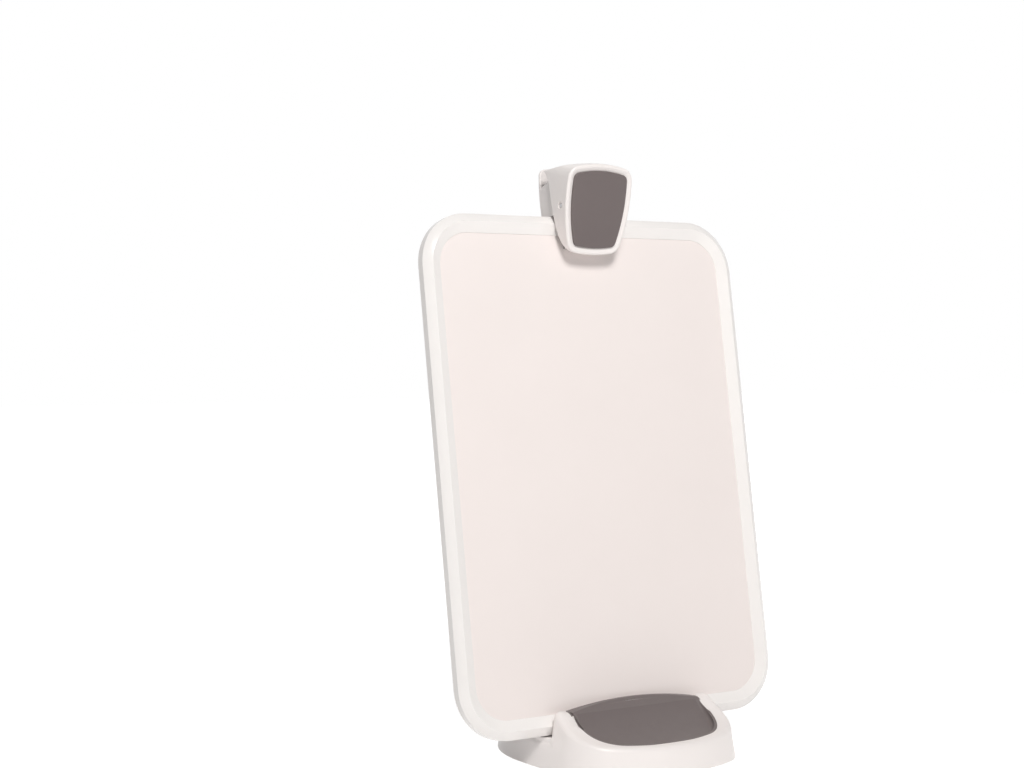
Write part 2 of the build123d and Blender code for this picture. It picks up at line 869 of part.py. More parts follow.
with BuildPart() as clip_rear_jaw:
    with BuildSketch(board_plane.offset(-rear_plate_depth)):
        low = (rear_foot_half, board_height - rear_foot_drop)
        mid = (rear_waist_half, board_height + rear_waist_rise)
        high = (rear_head_half, board_height + rear_head_rise)
        crest = (0, board_height + rear_head_rise + rear_head_bow)
        with BuildLine():
            ThreePointArc(low, mid, high)
            ThreePointArc(high, crest, (-high[0], high[1]))
            ThreePointArc((-high[0], high[1]), (-mid[0], mid[1]), (-low[0], low[1]))
            Line((-low[0], low[1]), low)
        plate_outline = make_face()
        fillet(plate_outline.vertices(), rear_corner)
    extrude(amount=rear_plate)
    fillet(clip_rear_jaw.faces().sort_by(Axis.Y)[-1].edges(), rear_edge_fillet)
    add(across(lug_section.sketch_local, lug_out) - across(lug_section.sketch_local, lug_out - lug_wall))
    pad_top = board_height - rear_pad_drop
    pad_low = pad_top - rear_pad_height
    pad_back = -rear_pad_gap - rear_pad_thickness
    add(across(side_box(rear_face, pad_back, pad_low, pad_top), rear_pad_width / 2))
    add(rod(pivot, pin_radius + pin_clearance, reach), mode=Mode.SUBTRACT)
save(clip_rear_jaw, "clip_rear_jaw")

with BuildPart() as clip_rear_jaw_pad:
    add(across(side_box(pad_back, -rear_pad_gap, pad_low, pad_top), rear_pad_width / 2))
save(clip_rear_jaw_pad, "clip_rear_jaw_pad")

with BuildPart() as clip_pivot_pin:
    add(rod(pivot, pin_radius, cheek_well))
    chamfer(clip_pivot_pin.edges().filter_by(GeomType.CIRCLE), pin_chamfer)
save(clip_pivot_pin, "clip_pivot_pin")

# Torsion spring round the pin: a helix of half-turn biarcs between two straight legs
leg_gap = spring_leg_gap + spring_wire
leg_height = pivot[1] + spring_leg_rise
rear_leg = (rear_face + leg_gap, leg_height)
front_leg = (face_depth(leg_height) - (lever_face + leg_gap) / cos(tilt), leg_height)


def clip_point(along, depth, height):
    """Point of the clip from its place across, its depth and its height."""
    return seat + Vector(along, 0, 0) + board_out * depth + board_up * height


def from_pivot(place):
    """Distance and direction of a side-view place from the pivot."""
    dx = place[0] - pivot[0]
    dy = place[1] - pivot[1]
    return hypot(dx, dy), atan2(dy, dx)


def coil_point(angle):
    """Centre of the wire at an angle of the coil."""
    along = spring_pitch * (angle - coil_middle) / (2 * pi)
    return clip_point(along, pivot[0] + spring_radius * cos(angle), pivot[1] + spring_radius * sin(angle))


def coil_run(angle):
    """Direction of the wire at an angle of the coil."""
    turning = board_out * (-spring_radius * sin(angle)) + board_up * (spring_radius * cos(angle))
    return (turning + Vector(spring_pitch / (2 * pi), 0, 0)).normalized()


rear_distance, rear_angle = from_pivot(rear_leg)
front_distance, front_angle = from_pivot(front_leg)
coil_start = rear_angle + acos(spring_radius / rear_distance)
coil_end = front_angle - acos(spring_radius / front_distance)
while coil_end < coil_start:
    coil_end += 2 * pi
coil_end += 2 * pi * spring_full_turns
coil_middle = (coil_start + coil_end) / 2
steps = ceil((coil_end - coil_start) / pi)
angles = [coil_start + (coil_end - coil_start) * i / steps for i in range(steps + 1)]
leg_stretch = hypot(1, spring_pitch / (2 * pi * spring_radius))
rear_leg_length = sqrt(rear_distance**2 - spring_radius**2) * leg_stretch
front_leg_length = sqrt(front_distance**2 - spring_radius**2) * leg_stretch

with BuildLine() as spring_path:
    leg_tip = coil_point(coil_start) - coil_run(coil_start) * rear_leg_length
    Line(leg_tip, coil_point(coil_start))
    for here, there in zip(angles, angles[1:]):
        p0, p1 = coil_point(here), coil_point(there)
        t0, t1 = coil_run(here), coil_run(there)
        chord = p1 - p0
        bend = 2 * (1 - t0.dot(t1))
        push = chord.dot(t0 + t1)
        reach_in = (sqrt(push**2 + bend * chord.dot(chord)) - push) / bend
        joint = (p0 + t0 * reach_in + p1 - t1 * reach_in) / 2
        TangentArc(p0, joint, tangent=t0)
        TangentArc(p1, joint, tangent=-t1)
    Line(coil_point(coil_end), coil_point(coil_end) + coil_run(coil_end) * front_leg_length)
spring_wire_path = spring_path.wires()[0]

with BuildPart() as clip_torsion_spring:
    with BuildSketch(Plane(origin=spring_wire_path @ 0, z_dir=spring_wire_path % 0)):
        Circle(spring_wire)
    sweep(path=spring_wire_path)
save(clip_torsion_spring, "clip_torsion_spring")

# Least gap of the spring's wire to itself, between points more than half a turn apart
gap_samples = 600
wire_points = [spring_wire_path @ (i / gap_samples) for i in range(gap_samples + 1)]
apart = ceil(pi * spring_radius / (spring_wire_path.length / gap_samples))
least_gap = min(
    (wire_points[i] - wire_points[j]).length
    for i in range(len(wire_points))
    for j in range(i + apart, len(wire_points))
) - 2 * spring_wire
print("least gap of the torsion spring to itself:", round(least_gap, 2))
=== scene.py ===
"""Studio scene of a desk document holder: a framed board in a slotted base, with a sprung clip on top.

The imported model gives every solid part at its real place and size. This script dresses those parts,
models the rubber pieces in more detail, lets the spring wind up, and adds the floor, the lamps and the
camera. Lengths are metres and angles are degrees.
"""

import json
import logging
import math
from collections.abc import Callable, Iterator
from contextlib import contextmanager
from dataclasses import dataclass, field
from enum import Enum

import bpy
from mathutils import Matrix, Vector
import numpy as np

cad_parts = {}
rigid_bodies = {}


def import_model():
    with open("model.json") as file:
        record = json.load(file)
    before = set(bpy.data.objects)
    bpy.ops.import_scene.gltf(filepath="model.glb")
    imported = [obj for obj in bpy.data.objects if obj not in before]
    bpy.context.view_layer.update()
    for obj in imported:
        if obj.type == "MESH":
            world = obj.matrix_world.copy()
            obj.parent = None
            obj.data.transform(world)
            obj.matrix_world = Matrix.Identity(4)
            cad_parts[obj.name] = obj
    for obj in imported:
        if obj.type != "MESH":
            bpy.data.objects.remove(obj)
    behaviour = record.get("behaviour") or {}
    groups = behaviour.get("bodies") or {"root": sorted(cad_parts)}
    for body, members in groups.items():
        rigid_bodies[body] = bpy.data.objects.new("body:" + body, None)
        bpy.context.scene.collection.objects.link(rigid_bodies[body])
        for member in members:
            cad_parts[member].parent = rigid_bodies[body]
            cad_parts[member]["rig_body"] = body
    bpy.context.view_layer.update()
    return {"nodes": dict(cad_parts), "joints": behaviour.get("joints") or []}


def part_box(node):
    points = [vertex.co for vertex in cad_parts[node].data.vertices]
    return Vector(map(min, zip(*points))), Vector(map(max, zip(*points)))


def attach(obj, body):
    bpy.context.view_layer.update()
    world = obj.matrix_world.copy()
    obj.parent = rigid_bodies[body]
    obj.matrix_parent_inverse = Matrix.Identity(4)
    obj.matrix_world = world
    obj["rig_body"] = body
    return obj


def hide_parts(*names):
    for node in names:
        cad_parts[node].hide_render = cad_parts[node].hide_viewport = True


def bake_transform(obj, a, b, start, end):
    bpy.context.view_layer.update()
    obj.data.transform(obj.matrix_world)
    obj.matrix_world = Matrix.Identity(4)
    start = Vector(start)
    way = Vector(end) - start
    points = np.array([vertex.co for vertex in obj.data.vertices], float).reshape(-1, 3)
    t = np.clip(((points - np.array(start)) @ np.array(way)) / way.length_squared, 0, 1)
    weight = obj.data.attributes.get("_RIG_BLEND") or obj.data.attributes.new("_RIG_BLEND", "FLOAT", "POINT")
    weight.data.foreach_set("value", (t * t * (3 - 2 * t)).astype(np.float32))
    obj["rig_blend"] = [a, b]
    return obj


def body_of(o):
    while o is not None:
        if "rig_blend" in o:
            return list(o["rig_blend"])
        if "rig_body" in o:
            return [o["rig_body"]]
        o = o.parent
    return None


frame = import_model()

LOG = logging.getLogger("document_holder")
MM = 0.001
WELD = 0.001 * MM  # points nearer than this become one point
COPLANAR_TURN = 0.4  # faces that turn less than this become one flat face
SAME_WAY = 0.99  # least product of two normals that look the same way

Colour = tuple[float, float, float]
Place = tuple[float, float, float]
WHITE: Colour = (1.0, 1.0, 1.0)
DUST_COLOUR: Colour = (0.78, 0.76, 0.73)


def joint_axis(name: str) -> Vector:
    """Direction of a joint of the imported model.

    Args:
        name: The joint's name.

    Returns:
        Its axis, of length 1.
    """
    joint = next(j for j in frame["joints"] if j["name"] == name)
    return Vector(joint["axis"]).normalized()


BOARD_UP = joint_axis("board_lift")
BOARD_OUT = Vector((0.0, -BOARD_UP.z, BOARD_UP.y))


class Body(Enum):
    """The bodies of the holder that move apart from each other."""

    BASE = "base"
    BOARD = "board"
    CLIP = "clip"
    LEVER = "lever"


class Slot(Enum):
    """The finish that the record gives each part."""

    GLOSS_WHITE = "gloss_white"
    SATIN_WHITE = "satin_white"
    PANEL_GREY = "panel_grey"
    SOFT_GREY = "soft_grey"
    JAW_RUBBER = "jaw_rubber"
    FOOT_RUBBER = "foot_rubber"
    STEEL = "steel"


class ShaderGraph:
    """Adds shader nodes to one tree and links them."""

    def __init__(self, tree: bpy.types.NodeTree) -> None:
        """Keep the tree.

        Args:
            tree: The node tree of a material, a world or a group.
        """
        self.tree = tree

    def add(self, kind: str, **values: object) -> bpy.types.Node:
        """Add a node and set its properties.

        Args:
            kind: The node's type, such as "ShaderNodeMath".
            values: Properties of the node, by name.

        Returns:
            The new node.
        """
        node = self.tree.nodes.new(kind)
        for name, value in values.items():
            setattr(node, name, value)
        return node

    def feed(self, socket: bpy.types.NodeSocket, value: object) -> None:
        """Link an input, or set its own value.

        Args:
            socket: The input.
            value: Another node's output, a number or a triple; a colour's triple is made opaque.
        """
        if isinstance(value, bpy.types.NodeSocket):
            self.tree.links.new(value, socket)
        else:
            socket.default_value = (*value, 1.0) if socket.type == "RGBA" else value

    def put(self, node: bpy.types.Node, **inputs: object) -> bpy.types.Node:
        """Set or link inputs of a node; a word's spaces are written as underscores.

        Args:
            node: The node whose inputs are set.
            inputs: What feeds each input, by the input's name.

        Returns:
            The same node.
        """
        for name, value in inputs.items():
            self.feed(node.inputs[name.replace("_", " ")], value)
        return node

    def math(self, operation: str, *terms: object, clamp: bool = False) -> bpy.types.NodeSocket:
        """Add a Math node.

        Args:
            operation: Its operation, such as "MULTIPLY".
            terms: Numbers or outputs, in the order of its inputs.
            clamp: Whether the result is held between 0 and 1.

        Returns:
            The node's output.
        """
        node = self.add("ShaderNodeMath", operation=operation, use_clamp=clamp)
        for socket, term in zip(node.inputs, terms):
            self.feed(socket, term)
        return node.outputs[0]

    def measure(self, operation: str, *vectors: bpy.types.NodeSocket) -> bpy.types.NodeSocket:
        """Add a Vector Math node that gives a number.

        Args:
            operation: Its operation, such as "LENGTH".
            vectors: Outputs, in the order of its inputs.

        Returns:
            The number's output.
        """
        node = self.add("ShaderNodeVectorMath", operation=operation)
        for socket, vector in zip(node.inputs, vectors):
            self.feed(socket, vector)
        return node.outputs["Value"]

    def mix(self, share: object, first: object, second: object) -> bpy.types.NodeSocket:
        """Add a colour mix.

        Args:
            share: How much of the second colour shows, a number or an output.
            first: The first colour, a triple or an output.
            second: The second colour, a triple or an output.

        Returns:
            The mixed colour's output.
        """
        node = self.add("ShaderNodeMix", data_type="RGBA")
        for socket, value in zip((node.inputs[0], node.inputs[6], node.inputs[7]), (share, first, second)):
            self.feed(socket, value)
        return node.outputs[2]

    def spread(self, value: bpy.types.NodeSocket, low: float, high: float) -> bpy.types.NodeSocket:
        """Stretch a mask of 0 to 1 over a range.

        Args:
            value: The mask.
            low: The result where the mask is 0.
            high: The result where the mask is 1.

        Returns:
            The stretched value's output.
        """
        return self.put(self.add("ShaderNodeMapRange"), Value=value, To_Min=low, To_Max=high).outputs[0]

    def object_place(self) -> bpy.types.NodeSocket:
        """Give the place on the piece, in the piece's own coordinates."""
        return self.add("ShaderNodeTexCoord").outputs["Object"]

    def noise(self, **inputs: object) -> bpy.types.NodeSocket:
        """Add a noise.

        Args:
            inputs: What feeds each of its inputs, by the input's name.

        Returns:
            The noise's output, 0 to 1.
        """
        return self.put(self.add("ShaderNodeTexNoise"), **inputs).outputs[0]

    def bump(
        self, height: bpy.types.NodeSocket, distance: float, strength: float = 1.0
    ) -> bpy.types.NodeSocket:
        """Add a bump.

        Args:
            height: The relief, 0 to 1.
            distance: How high the relief stands.
            strength: How much of it shows.

        Returns:
            The bumped normal's output.
        """
        node = self.put(self.add("ShaderNodeBump"), Height=height, Distance=distance, Strength=strength)
        return node.outputs[0]

    def effect(self, group: bpy.types.NodeTree, **inputs: float) -> bpy.types.Node:
        """Place a shared effect.

        Args:
            group: The effect's node group.
            inputs: Values of its inputs, by the input's name.

        Returns:
            The group's node.
        """
        return self.put(self.add("ShaderNodeGroup", node_tree=group), **inputs)

    def seen_directly(self) -> bpy.types.NodeSocket:
        """Tell what the camera, gloss and glass see from what only lights.

        Returns:
            An output that is 1 for such rays and 0 for all others.
        """
        path = self.add("ShaderNodeLightPath")
        seen = self.math("MAXIMUM", path.outputs["Is Camera Ray"], path.outputs["Is Glossy Ray"])
        return self.math("MAXIMUM", seen, path.outputs["Is Transmission Ray"])


def new_group(
    name: str, inputs: dict[str, float], outputs: tuple[str, ...]
) -> tuple[ShaderGraph, bpy.types.Node, bpy.types.Node]:
    """Make an empty shader node group.

    Args:
        name: The group's name.
        inputs: Its number inputs and their first values.
        outputs: Its number outputs.

    Returns:
        A graph over the group's tree, the node with its inputs, and the node that takes its outputs.
    """
    tree = bpy.data.node_groups.new(name, "ShaderNodeTree")
    for label, value in inputs.items():
        socket = tree.interface.new_socket(label, in_out="INPUT", socket_type="NodeSocketFloat")
        socket.default_value = value
    for label in outputs:
        tree.interface.new_socket(label, in_out="OUTPUT", socket_type="NodeSocketFloat")
    graph = ShaderGraph(tree)
    return graph, graph.add("NodeGroupInput"), graph.add("NodeGroupOutput")


@dataclass(frozen=True)
class MouldedSkin:
    """The skin of a moulded part: a fine grain, a slow mottle and handling smudges."""

    grain_scale: float = 1800.0
    mottle_scale: float = 16.0
    smudges_per_mottle: float = 4.0

    def build(self) -> bpy.types.NodeTree:
        """Build the effect.

        Returns:
            A group that puts out the grain, the mottle and the smudges, each 0 to 1.
        """
        scales = {"Grain Scale": self.grain_scale, "Mottle Scale": self.mottle_scale}
        graph, asked, given = new_group("moulded_skin", scales, ("Grain", "Mottle", "Smudge"))
        place = graph.object_place()
        fine, coarse = asked.outputs["Grain Scale"], asked.outputs["Mottle Scale"]
        between = graph.math("MULTIPLY", coarse, self.smudges_per_mottle)
        grain = graph.noise(Vector=place, Scale=fine, Detail=2.0, Roughness=0.55)
        mottle = graph.noise(Vector=place, Scale=coarse, Detail=3.0, Roughness=0.5)
        smudge = graph.noise(Vector=place, Scale=between, Detail=5.0, Roughness=0.65, Distortion=0.6)
        graph.put(given, Grain=grain, Mottle=mottle, Smudge=smudge)
        return graph.tree


@dataclass(frozen=True)
class EdgeWear:
    """The wear of edges: where the surface turns within a short reach, broken up by noise."""

    reach: float = 0.9 * MM
    samples: int = 4
    strength: float = 9.0
    breakup_scale: float = 240.0

    def build(self) -> bpy.types.NodeTree:
        """Build the effect.

        Returns:
            A group that puts out a mask, 0 on open faces and towards 1 on worn edges.
        """
        graph, asked, given = new_group("edge_wear", {"Breakup Scale": self.breakup_scale}, ("Mask",))
        rounded = graph.put(graph.add("ShaderNodeBevel", samples=self.samples), Radius=self.reach)
        flat = graph.add("ShaderNodeNewGeometry")
        along = graph.measure("DOT_PRODUCT", rounded.outputs[0], flat.outputs["Normal"])
        turned = graph.math("SUBTRACT", 1.0, along, clamp=True)
        scale = asked.outputs["Breakup Scale"]
        breakup = graph.noise(Vector=graph.object_place(), Scale=scale, Detail=4.0, Roughness=0.7)
        full = graph.math("MULTIPLY", turned, self.strength)
        graph.put(given, Mask=graph.math("MULTIPLY", full, breakup, clamp=True))
        return graph.tree


@dataclass(frozen=True)
class SettledDust:
    """The thin dust that settles on faces that look up, broken up by noise."""

    least_rise: float = 0.55
    strength: float = 2.0
    dust_scale: float = 90.0

    def build(self) -> bpy.types.NodeTree:
        """Build the effect.

        Returns:
            A group that puts out a mask, 0 on walls and under faces.
        """
        graph, asked, given = new_group("settled_dust", {"Dust Scale": self.dust_scale}, ("Mask",))
        facing = graph.add("ShaderNodeSeparateXYZ")
        graph.feed(facing.inputs[0], graph.add("ShaderNodeNewGeometry").outputs["Normal"])
        upward = graph.math("SUBTRACT", facing.outputs["Z"], self.least_rise, clamp=True)
        scale = asked.outputs["Dust Scale"]
        breakup = graph.noise(Vector=graph.object_place(), Scale=scale, Detail=6.0, Roughness=0.75)
        full = graph.math("MULTIPLY", upward, self.strength)
        graph.put(given, Mask=graph.math("MULTIPLY", full, breakup, clamp=True))
        return graph.tree


@dataclass(frozen=True)
class EffectGroups:
    """The node groups that the finishes share."""

    skin: bpy.types.NodeTree
    wear: bpy.types.NodeTree
    dust: bpy.types.NodeTree

    @classmethod
    def build(cls) -> "EffectGroups":
        """Build each group once."""
        return cls(MouldedSkin().build(), EdgeWear().build(), SettledDust().build())


def start_material(name: str) -> tuple[bpy.types.Material, ShaderGraph, bpy.types.Node]:
    """Make a material with its first shader.

    Args:
        name: The material's name.

    Returns:
        The material, the graph over its tree, and its Principled node.
    """
    material = bpy.data.materials.new(name)
    material.use_nodes = True
    return material, ShaderGraph(material.node_tree), material.node_tree.nodes["Principled BSDF"]


def weathered(
    graph: ShaderGraph,
    groups: EffectGroups,
    colour: bpy.types.NodeSocket,
    worn_colour: Colour,
    wear: float,
    dust: float,
) -> tuple[bpy.types.NodeSocket, bpy.types.NodeSocket]:
    """Lay edge wear and dust over a colour.

    Args:
        graph: The graph of a material.
        groups: The shared effects.
        colour: The clean surface's colour.
        worn_colour: The colour of worn edges.
        wear: How much the wear shows.
        dust: How much the dust shows.

    Returns:
        The outputs of the weathered colour and of the wear.
    """
    worn = graph.math("MULTIPLY", graph.effect(groups.wear).outputs["Mask"], wear)
    dusty = graph.math("MULTIPLY", graph.effect(groups.dust).outputs["Mask"], dust)
    return graph.mix(dusty, graph.mix(worn, colour, worn_colour), DUST_COLOUR), worn


@dataclass(frozen=True)
class MouldedPlastic:
    """Injection moulded plastic: a fine grain, slow mottling, smudges, worn edges and a little dust."""

    name: str
    colour: Colour
    shade: Colour
    worn: Colour
    roughness: float
    grain_scale: float
    grain_height: float
    smudging: float = 0.18
    worn_roughness: float = 0.3
    coat: float = 0.0
    wear: float = 0.25
    dust: float = 0.05

    def build(self, groups: EffectGroups) -> bpy.types.Material:
        """Make the material.

        Args:
            groups: The shared effects.

        Returns:
            The new material.
        """
        material, graph, shader = start_material(self.name)
        skin = graph.effect(groups.skin, Grain_Scale=self.grain_scale)
        clean = graph.mix(skin.outputs["Mottle"], self.colour, self.shade)
        colour, worn = weathered(graph, groups, clean, self.worn, self.wear, self.dust)
        least, most = self.roughness * (1 - self.smudging), self.roughness * (1 + self.smudging)
        smudged = graph.spread(skin.outputs["Smudge"], least, most)
        rough = graph.math("ADD", smudged, graph.math("MULTIPLY", worn, self.worn_roughness), clamp=True)
        normal = graph.bump(skin.outputs["Grain"], self.grain_height)
        graph.put(shader, Base_Color=colour, Roughness=rough, Normal=normal)
        graph.put(shader, IOR=1.49, Coat_Weight=self.coat, Coat_Roughness=0.08)
        return material


@dataclass(frozen=True)
class SoftRubber:
    """Soft moulded rubber: a pebbled skin with greyed high spots and a little dust."""

    name: str
    colour: Colour
    bloom: Colour
    roughness: float
    pebble_scale: float
    pebble_height: float
    grains_per_pebble: float = 1.7
    grain_share: float = 0.4
    smudging: float = 0.12
    blooming: float = 0.35
    wear: float = 0.4
    dust: float = 0.08

    def build(self, groups: EffectGroups) -> bpy.types.Material:
        """Make the material.

        Args:
            groups: The shared effects.

        Returns:
            The new material.
        """
        material, graph, shader = start_material(self.name)
        skin = graph.effect(groups.skin, Grain_Scale=self.pebble_scale * self.grains_per_pebble)
        pebbles = graph.add("ShaderNodeTexVoronoi", feature="SMOOTH_F1")
        graph.put(pebbles, Vector=graph.object_place(), Scale=self.pebble_scale, Smoothness=0.6)
        bloomed = graph.math("MULTIPLY", skin.outputs["Mottle"], self.blooming)
        clean = graph.mix(bloomed, self.colour, self.bloom)
        colour, _ = weathered(graph, groups, clean, self.bloom, self.wear, self.dust)
        least, most = self.roughness * (1 - self.smudging), self.roughness * (1 + self.smudging)
        rough = graph.spread(skin.outputs["Smudge"], least, most)
        grain = graph.math("MULTIPLY", skin.outputs["Grain"], self.grain_share)
        height = graph.math("ADD", pebbles.outputs["Distance"], grain)
        normal = graph.bump(height, self.pebble_height)
        graph.put(shader, Base_Color=colour, Roughness=rough, Normal=normal)
        graph.put(shader, IOR=1.5, Sheen_Weight=0.15, Sheen_Roughness=0.5)
        return material


@dataclass(frozen=True)
class DrawnSteel:
    """Bright drawn steel with fine scratches along X and a little tarnish."""

    name: str
    colour: Colour
    tarnish: Colour
    roughness: float
    scratch_scale: float
    scratch_stretch: float = 0.04
    scratch_height: float = 0.02 * MM
    scratch_strength: float = 0.6
    tarnishing: float = 0.35
    smoothest: float = 0.6
    roughest: float = 1.5

    def build(self, groups: EffectGroups) -> bpy.types.Material:
        """Make the material.

        Args:
            groups: The shared effects.

        Returns:
            The new material.
        """
        material, graph, shader = start_material(self.name)
        scales = (self.scratch_scale * self.scratch_stretch, self.scratch_scale, self.scratch_scale)
        drawn = graph.put(graph.add("ShaderNodeMapping"), Vector=graph.object_place(), Scale=scales)
        scratches = graph.noise(Vector=drawn.outputs[0], Scale=1.0, Detail=3.0, Roughness=0.6)
        smudge = graph.effect(groups.skin).outputs["Smudge"]
        colour = graph.mix(graph.math("MULTIPLY", smudge, self.tarnishing), self.colour, self.tarnish)
        rough = graph.spread(scratches, self.roughness * self.smoothest, self.roughness * self.roughest)
        normal = graph.bump(scratches, self.scratch_height, self.scratch_strength)
        graph.put(shader, Base_Color=colour, Roughness=rough, Normal=normal, Metallic=1.0)
        return material


Finish = MouldedPlastic | SoftRubber | DrawnSteel

FINISHES: dict[Slot, Finish] = {
    Slot.GLOSS_WHITE: MouldedPlastic(
        name="gloss_white_plastic",
        colour=(0.93, 0.905, 0.89),
        shade=(0.9, 0.87, 0.855),
        worn=(0.95, 0.945, 0.935),
        roughness=0.2,
        grain_scale=900.0,
        grain_height=0.004 * MM,
        coat=0.15,
    ),
    Slot.SATIN_WHITE: MouldedPlastic(
        name="satin_white_plastic",
        colour=(0.92, 0.875, 0.86),
        shade=(0.89, 0.845, 0.83),
        worn=(0.94, 0.92, 0.905),
        roughness=0.38,
        grain_scale=1700.0,
        grain_height=0.012 * MM,
        coat=0.08,
    ),
    Slot.PANEL_GREY: MouldedPlastic(
        name="panel_grey_plastic",
        colour=(0.9, 0.83, 0.81),
        shade=(0.87, 0.8, 0.78),
        worn=(0.92, 0.86, 0.84),
        roughness=0.46,
        grain_scale=1400.0,
        grain_height=0.02 * MM,
        wear=0.15,
    ),
    Slot.SOFT_GREY: SoftRubber(
        name="soft_grey_liner",
        colour=(0.125, 0.1, 0.099),
        bloom=(0.19, 0.16, 0.156),
        roughness=0.55,
        pebble_scale=1300.0,
        pebble_height=0.02 * MM,
    ),
    Slot.JAW_RUBBER: SoftRubber(
        name="grey_jaw_rubber",
        colour=(0.2, 0.19, 0.185),
        bloom=(0.3, 0.29, 0.28),
        roughness=0.7,
        pebble_scale=900.0,
        pebble_height=0.03 * MM,
    ),
    Slot.FOOT_RUBBER: SoftRubber(
        name="black_foot_rubber",
        colour=(0.04, 0.04, 0.041),
        bloom=(0.1, 0.098, 0.095),
        roughness=0.75,
        pebble_scale=800.0,
        pebble_height=0.03 * MM,
    ),
    Slot.STEEL: DrawnSteel(
        name="drawn_steel",
        colour=(0.5, 0.5, 0.51),
        tarnish=(0.42, 0.4, 0.38),
        roughness=0.26,
        scratch_scale=1600.0,
    ),
}


def deselect_all() -> None:
    """Leave object mode with nothing selected."""
    if bpy.context.object and bpy.context.object.mode != "OBJECT":
        bpy.ops.object.mode_set(mode="OBJECT")
    bpy.ops.object.select_all(action="DESELECT")


def take(piece: bpy.types.Object) -> None:
    """Select one piece alone and make it active.

    Args:
        piece: The piece to work on.
    """
    deselect_all()
    piece.select_set(True)
    bpy.context.view_layer.objects.active = piece


@contextmanager
def editing(piece: bpy.types.Object) -> Iterator[bpy.types.Mesh]:
    """Work on a piece in edit mode, with faces as the selection.

    Args:
        piece: The piece to edit.

    Yields:
        The piece's mesh.
    """
    take(piece)
    bpy.ops.object.mode_set(mode="EDIT")
    bpy.ops.mesh.select_mode(type="FACE")
    yield piece.data
    bpy.ops.object.mode_set(mode="OBJECT")


def pick_faces(mesh: bpy.types.Mesh, wanted: Callable[[Vector, Vector], bool]) -> None:
    """Select the faces that a test wants, while in edit mode.

    Args:
        mesh: The mesh in edit mode.
        wanted: A test of a face's centre and normal.
    """
    bpy.ops.mesh.select_all(action="DESELECT")
    bpy.ops.object.mode_set(mode="OBJECT")
    for polygon in mesh.polygons:
        polygon.select = wanted(polygon.center, polygon.normal)
    bpy.ops.object.mode_set(mode="EDIT")


def copy_of_node(node: str, name: str) -> bpy.types.Object:
    """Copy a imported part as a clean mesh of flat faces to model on.

    Args:
        node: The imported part.
        name: The new piece's name.

    Returns:
        The new piece, free of its source.
    """
    source = frame["nodes"][node]
    piece = bpy.data.objects.new(name, source.data.copy())
    piece.data.name = name
    bpy.context.scene.collection.objects.link(piece)
    take(piece)
    bpy.ops.mesh.customdata_custom_splitnormals_clear()
    with editing(piece):
        bpy.ops.mesh.select_all(action="SELECT")
        bpy.ops.mesh.remove_doubles(threshold=WELD)
        bpy.ops.mesh.dissolve_limited(angle_limit=math.radians(COPLANAR_TURN))
    return piece


def smooth_shading(piece: bpy.types.Object, sharp_turn: float) -> None:
    """Shade a piece smooth, with sharp edges kept.

    Args:
        piece: The piece.
        sharp_turn: The least turn that stays a sharp edge.
    """
    take(piece)
    bpy.ops.object.shade_smooth_by_angle(angle=math.radians(sharp_turn))
    deselect_all()


@dataclass(frozen=True)
class CrownedPad:
    """A soft pad whose front swells from a rounded shoulder to a low crown.

    Each ring gives its share of the front's size, and its rise over the ring before it.
    """

    rings: tuple[tuple[float, float], ...] = (
        (0.985, 0.14 * MM),
        (0.965, 0.1 * MM),
        (0.93, 0.09 * MM),
        (0.85, 0.1 * MM),
        (0.7, 0.07 * MM),
        (0.45, 0.04 * MM),
    )
    flat_face: float = 0.999
    depth_slack: float = 0.05 * MM
    sharp_turn: float = 50.0

    def build(self, node: str, name: str) -> bpy.types.Object:
        """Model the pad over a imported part.

        Args:
            node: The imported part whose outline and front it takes.
            name: The new piece's name.

        Returns:
            The new pad.
        """
        piece = copy_of_node(node, name)
        front = max(piece.data.polygons, key=lambda polygon: polygon.area * (polygon.normal.y < 0))
        facing = front.normal.copy()
        middle = front.center.copy()
        depth = middle.dot(facing)
        width = 1.0
        with editing(piece) as mesh:
            pick_faces(
                mesh,
                lambda c, n: n.dot(facing) > self.flat_face
                and abs(c.dot(facing) - depth) < self.depth_slack,
            )
            for share, rise in self.rings:
                bpy.ops.mesh.extrude_region_move(TRANSFORM_OT_translate={"value": facing * rise})
                middle += facing * rise
                bpy.ops.transform.resize(value=(share / width,) * 3, center_override=middle)
                width = share
        smooth_shading(piece, self.sharp_turn)
        return piece


